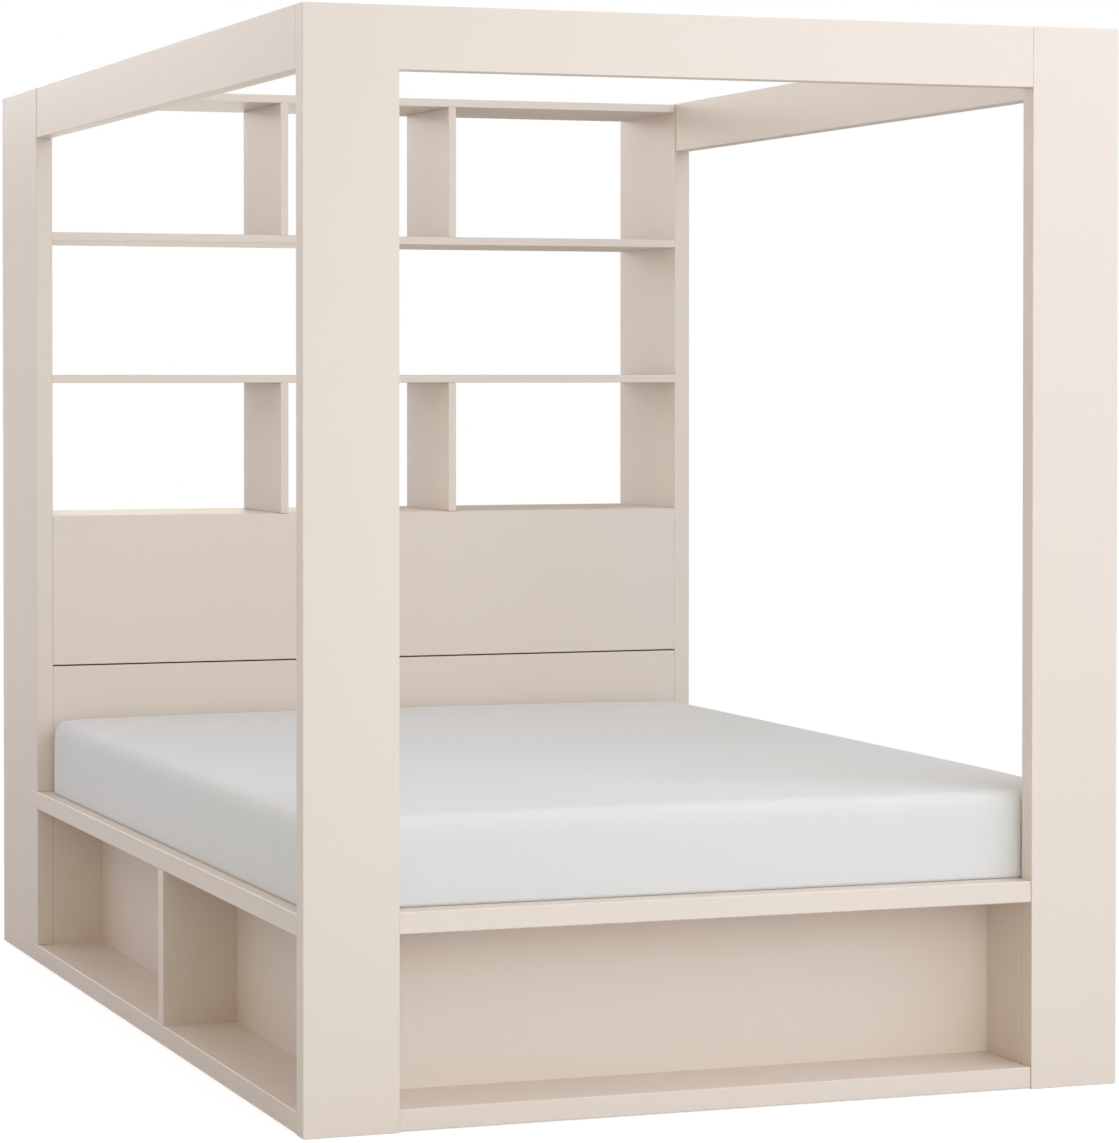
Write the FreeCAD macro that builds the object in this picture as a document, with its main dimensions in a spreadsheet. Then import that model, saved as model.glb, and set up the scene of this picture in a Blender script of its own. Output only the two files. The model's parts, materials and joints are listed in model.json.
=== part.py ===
import FreeCAD, Part
import math
import os

# Canopy bed with storage niches in its base, a shelf unit at its head and a drop-down headboard flap.
# The origin is on the floor under the middle of the bed, the foot is towards -Y and +Z is up.

# Driving dimensions in millimetres, and a few counts
SIZES = {
    # Mattress, and the room left around it on the base
    "MattressWidth": 1500,
    "MattressLength": 2000,
    "MattressEdgeHeight": 160,
    "MattressCrown": 9,
    "MattressEdgeRadius": 27,
    "MattressUnderRadius": 8,
    "MattressCornerRadius": 45,
    "MattressSeat": 0.3,
    "SideLedge": 24,
    "FootLedge": 50,
    "HeadGap": 10,
    # Canopy frame
    "OverallHeight": 1926,
    "FootPostWidth": 172,
    "FootPostThickness": 40,
    "BeamHeight": 110,
    "BeamSeam": 5,
    "HeadPostThickness": 36,
    "HeadUnitDepth": 352,
    # Shelves between the head posts
    "TopBoardDrop": 2,
    "ShelfThickness": 18,
    "ShelfDepth": 342,
    "LowerRowLoss": 3,
    "DividerThickness": 18,
    "DividerDepth": 309,
    "LeftBayWidth": 522,
    "MiddleBayWidth": 380,
    # Headboard, its flap and the compartment behind it
    "HeadboardTop": 985,
    "HeadboardGapLevel": 655,
    "HeadboardGap": 3,
    "HeadboardPanelThickness": 18,
    "HeadboardBackThickness": 10,
    "PartitionSetback": 20,
    "FlapTopGap": 1,
    "FlapSideGap": 0.2,
    "FlapRearGap": 3,
    "PivotInset": 6,
    "PivotPinRadius": 3,
    "PivotPinSeat": 20,
    "PivotBushRadius": 5,
    "PivotBushLength": 12,
    "PivotFit": 0.05,
    "PivotEndPlay": 0.5,
    "LatchSpacing": 900,
    "LatchWidth": 14,
    "LatchLength": 50,
    "LatchHeight": 14,
    "LatchPlungerRadius": 3,
    "LatchPlateThickness": 1.5,
    "LatchPlateSize": 16,
    "LatchGap": 0.3,
    # Base with its niches
    "BaseHeight": 378,
    "BaseBoardThickness": 38,
    "FootSetback": 2,
    "HeadNicheLength": 1070,
    "NicheDividerThickness": 38,
    "SideBackThickness": 25,
    "NicheEndThickness": 18,
    "FootNicheDepth": 177,
    "FootBackThickness": 18,
    "CrossBoardThickness": 25,
    "FloorPadHeight": 2,
    "FloorPadRadius": 15,
    "FloorPadInset": 60,
    # Slatted platform
    "SlatCount": 14,
    "SlatWidth": 90,
    "SlatThickness": 18,
    "SlatEndGap": 3,
    "BattenWidth": 30,
    "BattenHeight": 40,
    "CentreBeamWidth": 40,
    "CentreBeamHeight": 60,
    "CentreLegRadius": 20,
    # Fasteners
    "DowelRadius": 4,
    "DowelLength": 32,
    "ShelfDowelLength": 20,
    "DowelFit": 0.05,
    "DowelEndPlay": 0.5,
    "DowelMargin": 50,
    "BattenScrewRadius": 2.5,
    "BattenScrewLength": 44,
    "BattenScrewHeadRadius": 5,
    "BattenScrewHeadHeight": 3,
    "BattenScrewDrop": 8,
    "BattenScrewCount": 6,
    # Eased edges of the boards, rounder on the thick boards of the base
    "EdgeRadius": 1.5,
    "BaseEdgeRadius": 2,
}

doc = FreeCAD.newDocument("CanopyBed")
sheet = doc.addObject("Spreadsheet::Sheet", "Sizes")
for row, (alias, value) in enumerate(SIZES.items(), start=1):
    sheet.set(f"A{row}", alias)
    sheet.set(f"B{row}", str(value))
    sheet.setAlias(f"B{row}", alias)
doc.recompute()

# Planes that bound the boards, each an expression of the driving dimensions
HALF_WIDTH = "(Sizes.MattressWidth / 2 + Sizes.SideLedge)"
HALF_LENGTH = (
    "((Sizes.FootLedge + Sizes.MattressLength + Sizes.HeadGap + Sizes.HeadUnitDepth) / 2)"
)
FOOT_FACE = f"(-{HALF_LENGTH})"
FOOT_POST_BACK = f"({FOOT_FACE} + Sizes.FootPostThickness)"
FOOT_BOARD_FACE = f"({FOOT_FACE} + Sizes.FootSetback)"
FOOT_NICHE_BACK = f"({FOOT_BOARD_FACE} + Sizes.FootNicheDepth)"
FOOT_BACK_REAR = f"({FOOT_NICHE_BACK} + Sizes.FootBackThickness)"
HEAD_FACE = f"({HALF_LENGTH} - Sizes.HeadUnitDepth)"
HEAD_PANEL_REAR = f"({HEAD_FACE} + Sizes.HeadboardPanelThickness)"
FLAP_SHELF_FACE = f"({HEAD_PANEL_REAR} + Sizes.FlapRearGap)"
SHELF_REAR = f"({HEAD_FACE} + Sizes.ShelfDepth)"
HEADBOARD_REAR = f"({SHELF_REAR} + Sizes.HeadboardBackThickness)"
REAR_FACE = HALF_LENGTH
NICHE_DIVIDER_BACK = f"({HEAD_FACE} - Sizes.HeadNicheLength)"
NICHE_DIVIDER_FRONT = f"({NICHE_DIVIDER_BACK} - Sizes.NicheDividerThickness)"

BASE_BOTTOM = "Sizes.FloorPadHeight"
NICHE_FLOOR = "(Sizes.FloorPadHeight + Sizes.BaseBoardThickness)"
NICHE_CEILING = "(Sizes.BaseHeight - Sizes.BaseBoardThickness)"
BASE_TOP = "Sizes.BaseHeight"
SLAT_BOTTOM = "(Sizes.BaseHeight - Sizes.SlatThickness)"
CENTRE_BEAM_BOTTOM = f"({SLAT_BOTTOM} - Sizes.CentreBeamHeight)"
LOWER_PANEL_TOP = "(Sizes.HeadboardGapLevel - Sizes.HeadboardGap / 2)"
FLAP_BOTTOM = "(Sizes.HeadboardGapLevel + Sizes.HeadboardGap / 2)"
HEADBOARD_SHELF_BOTTOM = "(Sizes.HeadboardTop - Sizes.ShelfThickness)"
TOP_BOARD_TOP = "(Sizes.OverallHeight - Sizes.TopBoardDrop)"
SHELF_PITCH = f"(({TOP_BOARD_TOP} - Sizes.HeadboardTop + Sizes.LowerRowLoss) / 3)"
UPPER_SHELF_TOP = f"({TOP_BOARD_TOP} - {SHELF_PITCH})"
MIDDLE_SHELF_TOP = f"({UPPER_SHELF_TOP} - {SHELF_PITCH})"
CANOPY_TOP = "Sizes.OverallHeight"
BEAM_BOTTOM = "(Sizes.OverallHeight - Sizes.BeamHeight)"

PIVOT_Y = f"({HEAD_FACE} + Sizes.PivotInset)"
PIVOT_Z = f"({FLAP_BOTTOM} + Sizes.PivotInset)"

LEFT = -1
RIGHT = 1
SIDE_NAMES = {LEFT: "left", RIGHT: "right"}
AXIS_TURNS = {
    "x": FreeCAD.Rotation(FreeCAD.Vector(0, 1, 0), 90),
    "y": FreeCAD.Rotation(FreeCAD.Vector(1, 0, 0), -90),
    "z": FreeCAD.Rotation(),
}

corners = {}
sub_parts = []


def size(alias):
    """The present value of one driving dimension."""
    return float(sheet.get(alias))


def keep(obj, name):
    """Counts an object as one of the bed's sub-parts."""
    obj.Label = name
    sub_parts.append(obj)
    return obj


def inward(side, inset):
    """The plane that lies a given distance inside the bed's left or right outer face."""
    if side == LEFT:
        return f"(-{HALF_WIDTH} + {inset})"
    return f"({HALF_WIDTH} - {inset})"


def inset_span(side, near, far):
    """Lower and upper X planes of a board lying between two insets from an outer face."""
    if side == LEFT:
        return inward(LEFT, near), inward(LEFT, far)
    return inward(RIGHT, far), inward(RIGHT, near)


def middle(span):
    return f"(({span[0]}) + ({span[1]})) / 2"


def spread(span, count, margin="Sizes.DowelMargin"):
    """Evenly spaced places along a span, the first and last a margin from its ends."""
    low, high = span
    if count == 1:
        return [middle(span)]
    room = f"(({high}) - ({low}) - 2 * {margin})"
    return [f"({low}) + {margin} + {room} * {i} / {count - 1}" for i in range(count)]


def edges_off_ends(blank, ends):
    """Names of a blank's edges apart from those round its lowest or highest X face, or round both."""
    doc.recompute()
    box = blank.Shape.BoundBox
    planes = [{"low": box.XMin, "high": box.XMax}[end] for end in ends]
    return [
        f"Edge{i}"
        for i, edge in enumerate(blank.Shape.Edges, start=1)
        if all(abs(edge.CenterOfMass.x - plane) > box.XLength / 4 for plane in planes)
    ]


def upright_edges(blank, end):
    """Names of the two upright edges of a blank's lowest or highest X face."""
    doc.recompute()
    box = blank.Shape.BoundBox
    plane = {"low": box.XMin, "high": box.XMax}[end]
    return [
        f"Edge{i}"
        for i, edge in enumerate(blank.Shape.Edges, start=1)
        if abs(edge.CenterOfMass.x - plane) < box.XLength / 4
        and abs(edge.CenterOfMass.z - box.Center.z) < box.ZLength / 4
    ]


def make_panel(name, x, y, z):
    """A board with sharp edges between three pairs of planes."""
    body = doc.addObject("PartDesign::Body", name)
    body.Label = name
    corners[body.Name] = (x[0], y[0], z[0])
    for axis, low in zip("xyz", corners[body.Name]):
        body.setExpression(f"Placement.Base.{axis}", low)
    blank = body.newObject("PartDesign::AdditiveBox", f"{name}_blank")
    for length, (low, high) in zip(("Length", "Width", "Height"), (x, y, z)):
        blank.setExpression(length, f"({high}) - ({low})")
    body.Tip = blank
    return body


def make_board(name, x, y, z, radius="Sizes.EdgeRadius", tight_ends=(), shown_end=None):
    """A board with eased edges, apart from tight ends, or with two at the one end that shows."""
    body = make_panel(name, x, y, z)
    blank = body.Tip
    eased = body.newObject("PartDesign::Fillet", f"{name}_eased")
    if shown_end:
        eased.Base = (blank, upright_edges(blank, shown_end))
    elif tight_ends:
        eased.Base = (blank, edges_off_ends(blank, tight_ends))
    else:
        eased.Base = (blank, ["Face1"])
        eased.UseAllEdges = True
    eased.setExpression("Radius", radius)
    body.Tip = eased
    return body


def board(name, x, y, z, **easing):
    return keep(make_board(name, x, y, z, **easing), name)


def board_pair(name, near, far, y, z, **easing):
    """The same board on the left and the right side, between two insets from the outer faces."""
    return {
        side: board(f"{name}_{SIDE_NAMES[side]}", inset_span(side, near, far), y, z, **easing)
        for side in (LEFT, RIGHT)
    }


def panel(name, x, y, z):
    return keep(make_panel(name, x, y, z), name)


def panel_pair(name, near, far, y, z):
    """The same sharp-edged panel on the left and the right side."""
    return {
        side: panel(f"{name}_{SIDE_NAMES[side]}", inset_span(side, near, far), y, z)
        for side in (LEFT, RIGHT)
    }


def place_round(obj, axis, centre, length, origin=("0", "0", "0")):
    """Centres a cylinder of a given length on a point, along one axis."""
    obj.Placement = FreeCAD.Placement(FreeCAD.Vector(), AXIS_TURNS[axis])
    obj.setExpression("Height", length)
    for name, at, low in zip("xyz", centre, origin):
        start = f"({at}) - ({low})"
        if name == axis:
            start = f"{start} - ({length}) / 2"
        obj.setExpression(f"Placement.Base.{name}", start)


def cylinder(name, axis, centre, radius, length):
    """A round bar centred on a point."""
    bar = doc.addObject("Part::Cylinder", name)
    bar.setExpression("Radius", radius)
    place_round(bar, axis, centre, length)
    return bar


def bore(body, axis, centre, radius, length):
    """A round hole in a board, centred on a point of the bed."""
    hole = body.newObject("PartDesign::SubtractiveCylinder", f"{body.Name}_bore")
    hole.setExpression("Radius", radius)
    place_round(hole, axis, centre, length, corners[body.Name])
    body.Tip = hole


def group(name, members):
    """Separate like solids that share one node."""
    compound = doc.addObject("Part::Compound", name)
    compound.Links = members
    return keep(compound, name)


def dowels(name, joints, length):
    """Dowels across joints, each joint an axis, a centre and the two boards that it bores."""
    pegs = []
    for axis, centre, boards in joints:
        pegs.append(cylinder(f"{name}_peg", axis, centre, "Sizes.DowelRadius", length))
        for body in boards:
            bore(
                body, axis, centre,
                "Sizes.DowelRadius + Sizes.DowelFit",
                f"{length} + 2 * Sizes.DowelEndPlay",
            )
    group(name, pegs)


# Foot posts, and the beams of the canopy. The foot beam's left end closes tight, without a groove.
foot_post_y = (FOOT_FACE, FOOT_POST_BACK)
foot_post_z = ("0", CANOPY_TOP)
beam_z = (BEAM_BOTTOM, CANOPY_TOP)
foot_posts = {
    side: board(
        f"foot_post_{SIDE_NAMES[side]}", inset_span(side, "0", "Sizes.FootPostWidth"),
        foot_post_y, foot_post_z, tight_ends=ends,
    )
    for side, ends in ((LEFT, ["high"]), (RIGHT, []))
}
between_posts = (inward(LEFT, "Sizes.FootPostWidth"), inward(RIGHT, "Sizes.FootPostWidth"))
foot_beam = board("foot_beam", between_posts, foot_post_y, beam_z, tight_ends=["low"])
head_y = (HEAD_FACE, REAR_FACE)
head_posts = board_pair("head_post", "0", "Sizes.HeadPostThickness", head_y, (BASE_TOP, CANOPY_TOP))
side_beam_y = (FOOT_POST_BACK, f"({HEAD_FACE} - Sizes.BeamSeam)")
side_beams = board_pair("side_beam", "0", "Sizes.HeadPostThickness", side_beam_y, beam_z)

# Shelves between the head posts
between_heads = (inward(LEFT, "Sizes.HeadPostThickness"), inward(RIGHT, "Sizes.HeadPostThickness"))
shelf_y = (HEAD_FACE, SHELF_REAR)


def shelf_z(top):
    return f"({top} - Sizes.ShelfThickness)", top


top_board = board("head_top_board", between_heads, shelf_y, shelf_z(TOP_BOARD_TOP))
upper_shelf = board("upper_shelf", between_heads, shelf_y, shelf_z(UPPER_SHELF_TOP))
middle_shelf = board("middle_shelf", between_heads, shelf_y, shelf_z(MIDDLE_SHELF_TOP))
headboard_shelf_y = (FLAP_SHELF_FACE, SHELF_REAR)
headboard_shelf = board(
    "headboard_shelf", between_heads, headboard_shelf_y, shelf_z("Sizes.HeadboardTop")
)

# Upright dividers of the top and bottom rows of shelves
LEFT_DIVIDER_X = f"({between_heads[0]} + Sizes.LeftBayWidth)"
RIGHT_DIVIDER_X = f"({LEFT_DIVIDER_X} + Sizes.DividerThickness + Sizes.MiddleBayWidth)"
divider_x = {
    side: (low, f"({low} + Sizes.DividerThickness)")
    for side, low in ((LEFT, LEFT_DIVIDER_X), (RIGHT, RIGHT_DIVIDER_X))
}
divider_y = (HEAD_FACE, f"({HEAD_FACE} + Sizes.DividerDepth)")
upper_bay = (UPPER_SHELF_TOP, f"({TOP_BOARD_TOP} - Sizes.ShelfThickness)")
lower_bay = ("Sizes.HeadboardTop", f"({MIDDLE_SHELF_TOP} - Sizes.ShelfThickness)")
upper_dividers = {}
lower_dividers = {}
for side, x in divider_x.items():
    upper_dividers[side] = board(f"upper_divider_{SIDE_NAMES[side]}", x, divider_y, upper_bay)
    lower_dividers[side] = board(f"lower_divider_{SIDE_NAMES[side]}", x, divider_y, lower_bay)

# Headboard: a fixed lower panel, the flap above it and the compartment behind the flap
panel_y = (HEAD_FACE, HEAD_PANEL_REAR)
lower_panel = board("headboard_lower_panel", between_heads, panel_y, (BASE_TOP, LOWER_PANEL_TOP))
flap_x = (f"({between_heads[0]} + Sizes.FlapSideGap)", f"({between_heads[1]} - Sizes.FlapSideGap)")
flap_z = (FLAP_BOTTOM, "(Sizes.HeadboardTop - Sizes.FlapTopGap)")
flap = board("headboard_flap", flap_x, panel_y, flap_z, tight_ends=["low", "high"])
compartment_floor = board(
    "compartment_floor", between_heads, (HEAD_PANEL_REAR, SHELF_REAR), shelf_z(LOWER_PANEL_TOP)
)
partition_y = (f"({FLAP_SHELF_FACE} + Sizes.PartitionSetback)", SHELF_REAR)
partition_z = (LOWER_PANEL_TOP, HEADBOARD_SHELF_BOTTOM)
partitions = {
    side: board(f"compartment_partition_{SIDE_NAMES[side]}", x, partition_y, partition_z)
    for side, x in divider_x.items()
}
board("headboard_back_panel", between_heads, (SHELF_REAR, HEADBOARD_REAR), (BASE_TOP, "Sizes.HeadboardTop"))

# Side cabinets of the base. The panels inside a niche are sharp, so that its corners close without a groove.
side_y = (FOOT_POST_BACK, REAR_FACE)
niche_z = (NICHE_FLOOR, NICHE_CEILING)
bottom_z = (BASE_BOTTOM, NICHE_FLOOR)
top_z = (NICHE_CEILING, BASE_TOP)
SIDE_NICHE_DEPTH = "(Sizes.FootPostWidth - Sizes.SideBackThickness)"
BASE_EDGE = "Sizes.BaseEdgeRadius"
side_tops = board_pair("side_top_board", "0", "Sizes.FootPostWidth", side_y, top_z, radius=BASE_EDGE)
side_bottoms = board_pair(
    "side_bottom_board", "0", "Sizes.FootPostWidth", side_y, bottom_z, radius=BASE_EDGE
)
side_backs = panel_pair("side_back_panel", SIDE_NICHE_DEPTH, "Sizes.FootPostWidth", side_y, niche_z)
niche_divider_y = (NICHE_DIVIDER_FRONT, NICHE_DIVIDER_BACK)
niche_dividers = {
    side: board(
        f"side_niche_divider_{SIDE_NAMES[side]}", inset_span(side, "0", SIDE_NICHE_DEPTH),
        niche_divider_y, niche_z, shown_end=end,
    )
    for side, end in ((LEFT, "low"), (RIGHT, "high"))
}
rear_stiles = board_pair("rear_stile", "0", "Sizes.HeadPostThickness", head_y, niche_z)
niche_end_y = (HEAD_FACE, f"({HEAD_FACE} + Sizes.NicheEndThickness)")
panel_pair("niche_end_panel", "Sizes.HeadPostThickness", SIDE_NICHE_DEPTH, niche_end_y, niche_z)
rear_end_y = (f"({REAR_FACE} - Sizes.NicheEndThickness)", REAR_FACE)
board_pair("rear_end_panel", "Sizes.HeadPostThickness", SIDE_NICHE_DEPTH, rear_end_y, niche_z)

# Foot cabinet of the base, and the cross boards that close its head end
foot_cabinet_y = (FOOT_BOARD_FACE, FOOT_BACK_REAR)
foot_back_y = (FOOT_NICHE_BACK, FOOT_BACK_REAR)
foot_top = board("foot_top_board", between_posts, foot_cabinet_y, top_z, radius=BASE_EDGE)
foot_bottom = board("foot_bottom_board", between_posts, foot_cabinet_y, bottom_z, radius=BASE_EDGE)
foot_back = panel("foot_back_panel", between_posts, foot_back_y, niche_z)
cross_z = (BASE_BOTTOM, BASE_TOP)
head_cross_y = (HEAD_FACE, f"({HEAD_FACE} + Sizes.CrossBoardThickness)")
rear_cross_y = (f"({REAR_FACE} - Sizes.CrossBoardThickness)", REAR_FACE)
head_cross = board("head_cross_board", between_posts, head_cross_y, cross_z)
rear_cross = board("rear_cross_board", between_posts, rear_cross_y, cross_z)

# Slatted platform, level with the top of the base
platform_y = (FOOT_BACK_REAR, HEAD_FACE)
batten_far = "(Sizes.FootPostWidth + Sizes.BattenWidth)"
batten_z = (f"({SLAT_BOTTOM} - Sizes.BattenHeight)", SLAT_BOTTOM)
battens = board_pair("slat_batten", "Sizes.FootPostWidth", batten_far, platform_y, batten_z)
centre_x = ("(-Sizes.CentreBeamWidth / 2)", "(Sizes.CentreBeamWidth / 2)")
board("centre_beam", centre_x, platform_y, (CENTRE_BEAM_BOTTOM, SLAT_BOTTOM))
leg_z = (BASE_BOTTOM, CENTRE_BEAM_BOTTOM)
leg_length = f"({leg_z[1]}) - ({leg_z[0]})"
leg_margin = f"(({platform_y[1]}) - ({platform_y[0]})) / 4"
leg_places = spread(platform_y, 2, leg_margin)
for leg_name, leg_y in zip(("foot", "head"), leg_places):
    leg_centre = ("0", leg_y, middle(leg_z))
    leg = cylinder(f"centre_leg_{leg_name}", "z", leg_centre, "Sizes.CentreLegRadius", leg_length)
    keep(leg, f"centre_leg_{leg_name}")

slat_count = int(size("SlatCount"))
platform_length = f"(({platform_y[1]}) - ({platform_y[0]}))"
slat_gap = f"(({platform_length} - {slat_count} * Sizes.SlatWidth) / {slat_count + 1})"
slat_inset = "(Sizes.FootPostWidth + Sizes.SlatEndGap)"
slat_x = (inward(LEFT, slat_inset), inward(RIGHT, slat_inset))
slats = []
slat_joints = []
for i in range(slat_count):
    slat_front = f"({platform_y[0]} + {slat_gap} * {i + 1} + Sizes.SlatWidth * {i})"
    slat_y = (slat_front, f"({slat_front} + Sizes.SlatWidth)")
    slat = make_board(f"slat_{i + 1}", slat_x, slat_y, (SLAT_BOTTOM, BASE_TOP))
    slats.append(slat)
    for side in (LEFT, RIGHT):
        peg_x = middle(inset_span(side, "Sizes.FootPostWidth", batten_far))
        slat_joints.append(("z", (peg_x, middle(slat_y), SLAT_BOTTOM), (slat, battens[side])))
dowels("slat_pegs", slat_joints, "Sizes.ShelfDowelLength")
group("slats", slats)

# Dowels that hold the canopy, the shelves, the head posts and the base together
canopy_joints = []
shelf_joints = []
post_joints = []
base_joints = []
beam_levels = spread(beam_z, 2, "Sizes.BeamHeight / 4")
panel_levels = (NICHE_FLOOR, NICHE_CEILING)
for side in (LEFT, RIGHT):
    beam_middle_x = middle(inset_span(side, "0", "Sizes.HeadPostThickness"))
    post_inner = inward(side, "Sizes.FootPostWidth")
    head_inner = inward(side, "Sizes.HeadPostThickness")
    back_middle_x = middle(inset_span(side, SIDE_NICHE_DEPTH, "Sizes.FootPostWidth"))
    for level in beam_levels:
        foot_centre = (post_inner, middle(foot_post_y), level)
        canopy_joints.append(("x", foot_centre, (foot_beam, foot_posts[side])))
        for plane, post in ((FOOT_POST_BACK, foot_posts[side]), (HEAD_FACE, head_posts[side])):
            canopy_joints.append(("y", (beam_middle_x, plane, level), (side_beams[side], post)))
    for shelf, span_y, top in (
        (top_board, shelf_y, TOP_BOARD_TOP),
        (upper_shelf, shelf_y, UPPER_SHELF_TOP),
        (middle_shelf, shelf_y, MIDDLE_SHELF_TOP),
        (headboard_shelf, headboard_shelf_y, "Sizes.HeadboardTop"),
        (compartment_floor, headboard_shelf_y, LOWER_PANEL_TOP),
    ):
        for y in spread(span_y, 2):
            shelf_joints.append(("x", (head_inner, y, middle(shelf_z(top))), (shelf, head_posts[side])))
    for y in spread(head_y, 3):
        post_joints.append(("z", (beam_middle_x, y, BASE_TOP), (head_posts[side], side_tops[side])))
    for level, side_board in zip(panel_levels, (side_bottoms[side], side_tops[side])):
        for y in spread(head_y, 2, "2 * Sizes.DowelMargin"):
            base_joints.append(("z", (beam_middle_x, y, level), (rear_stiles[side], side_board)))
        for y in spread(side_y, 4):
            base_joints.append(("z", (back_middle_x, y, level), (side_backs[side], side_board)))
        for x in spread(inset_span(side, "0", SIDE_NICHE_DEPTH), 2, "Sizes.DowelMargin / 2"):
            divider_centre = (x, middle(niche_divider_y), level)
            base_joints.append(("z", divider_centre, (niche_dividers[side], side_board)))
for level, foot_board in zip(panel_levels, (foot_bottom, foot_top)):
    for x in spread(between_posts, 4):
        base_joints.append(("z", (x, middle(foot_back_y), level), (foot_back, foot_board)))
dowels("canopy_dowels", canopy_joints, "Sizes.DowelLength")
dowels("shelf_dowels", shelf_joints, "Sizes.ShelfDowelLength")
dowels("post_dowels", post_joints, "Sizes.DowelLength")
dowels("base_dowels", base_joints, "Sizes.DowelLength")

divider_joints = []
for side, x in divider_x.items():
    for divider, level, shelf in (
        (upper_dividers[side], upper_bay[0], upper_shelf),
        (upper_dividers[side], upper_bay[1], top_board),
        (lower_dividers[side], lower_bay[0], headboard_shelf),
        (lower_dividers[side], lower_bay[1], middle_shelf),
    ):
        for y in spread(divider_y, 2):
            divider_joints.append(("z", (middle(x), y, level), (divider, shelf)))
dowels("divider_dowels", divider_joints, "Sizes.ShelfDowelLength")

# Screws that hold the slat battens to the side cabinets
screws = []
screw_level = f"({NICHE_CEILING} - Sizes.BattenScrewDrop)"
for side in (LEFT, RIGHT):
    head_span = inset_span(side, f"({batten_far} - Sizes.BattenScrewHeadHeight)", batten_far)
    shank_span = inset_span(side, f"({batten_far} - Sizes.BattenScrewLength)", batten_far)
    for y in spread(platform_y, int(size("BattenScrewCount"))):
        shank_centre = (middle(shank_span), y, screw_level)
        head_centre = (middle(head_span), y, screw_level)
        screw = doc.addObject("Part::Fuse", "batten_screw")
        screw.Base = cylinder(
            "batten_screw_shank", "x", shank_centre,
            "Sizes.BattenScrewRadius", "Sizes.BattenScrewLength",
        )
        screw.Tool = cylinder(
            "batten_screw_head", "x", head_centre,
            "Sizes.BattenScrewHeadRadius", "Sizes.BattenScrewHeadHeight",
        )
        screws.append(screw)
        screw_bore = "Sizes.BattenScrewRadius + Sizes.DowelFit"
        screw_bore_length = "Sizes.BattenScrewLength + 2 * Sizes.DowelEndPlay"
        for body in (battens[side], side_backs[side]):
            bore(body, "x", shank_centre, screw_bore, screw_bore_length)
        head_bore = "Sizes.BattenScrewHeadRadius + Sizes.DowelFit"
        head_bore_length = "Sizes.BattenScrewHeadHeight + 2 * Sizes.DowelFit"
        bore(battens[side], "x", head_centre, head_bore, head_bore_length)
group("batten_screws", screws)

# Flap pivots: a steel pin at each end of the flap, turning in a bush in the head post
pins = []
bushes = []
for side in (LEFT, RIGHT):
    bush_near = "(Sizes.HeadPostThickness - Sizes.PivotBushLength)"
    bush_x = middle(inset_span(side, bush_near, "Sizes.HeadPostThickness"))
    bush_centre = (bush_x, PIVOT_Y, PIVOT_Z)
    pin_near = f"({bush_near} + Sizes.PivotEndPlay)"
    pin_far = "(Sizes.HeadPostThickness + Sizes.FlapSideGap + Sizes.PivotPinSeat)"
    pin_centre = (middle(inset_span(side, pin_near, pin_far)), PIVOT_Y, PIVOT_Z)
    pin_length = f"({pin_far} - {pin_near})"
    pins.append(cylinder("pivot_pin", "x", pin_centre, "Sizes.PivotPinRadius", pin_length))
    pin_bore = "Sizes.PivotPinRadius + Sizes.PivotFit"
    bore(flap, "x", pin_centre, pin_bore, f"{pin_length} + 2 * Sizes.PivotEndPlay")
    bush = doc.addObject("Part::Cut", "pivot_bush")
    bush.Base = cylinder("bush_outside", "x", bush_centre, "Sizes.PivotBushRadius", "Sizes.PivotBushLength")
    bush.Tool = cylinder("bush_bore", "x", bush_centre, pin_bore, "Sizes.PivotBushLength")
    bushes.append(bush)
    bush_seat = "Sizes.PivotBushRadius + Sizes.DowelFit"
    bore(head_posts[side], "x", bush_centre, bush_seat, "Sizes.PivotBushLength + 2 * Sizes.DowelFit")
group("pivot_pins", pins)
group("pivot_bushes", bushes)

# Push latches under the headboard shelf, and the plates on the flap that they hold
latches = []
plates = []
plate_rear = f"({HEAD_PANEL_REAR} + Sizes.LatchPlateThickness)"
latch_z = (f"({HEADBOARD_SHELF_BOTTOM} - Sizes.LatchHeight)", HEADBOARD_SHELF_BOTTOM)
plunger_front = f"({plate_rear} + Sizes.LatchGap)"
plunger_rear = f"({FLAP_SHELF_FACE} + Sizes.LatchLength / 2)"
for side in (LEFT, RIGHT):
    latch_x = f"({side} * Sizes.LatchSpacing / 2)"
    case = doc.addObject("Part::Box", "latch_case")
    case.setExpression("Length", "Sizes.LatchWidth")
    case.setExpression("Width", "Sizes.LatchLength")
    case.setExpression("Height", "Sizes.LatchHeight")
    case.setExpression("Placement.Base.x", f"{latch_x} - Sizes.LatchWidth / 2")
    case.setExpression("Placement.Base.y", FLAP_SHELF_FACE)
    case.setExpression("Placement.Base.z", latch_z[0])
    plunger_centre = (latch_x, middle((plunger_front, plunger_rear)), middle(latch_z))
    plunger_length = f"({plunger_rear} - {plunger_front})"
    latch = doc.addObject("Part::Fuse", "push_latch")
    latch.Base = case
    latch.Tool = cylinder(
        "latch_plunger", "y", plunger_centre, "Sizes.LatchPlungerRadius", plunger_length
    )
    latches.append(latch)
    plate = doc.addObject("Part::Box", "latch_plate")
    plate.setExpression("Length", "Sizes.LatchPlateSize")
    plate.setExpression("Width", "Sizes.LatchPlateThickness")
    plate.setExpression("Height", "Sizes.LatchPlateSize")
    plate.setExpression("Placement.Base.x", f"{latch_x} - Sizes.LatchPlateSize / 2")
    plate.setExpression("Placement.Base.y", HEAD_PANEL_REAR)
    plate.setExpression("Placement.Base.z", f"{middle(latch_z)} - Sizes.LatchPlateSize / 2")
    plates.append(plate)
group("push_latches", latches)
group("latch_plates", plates)

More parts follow.
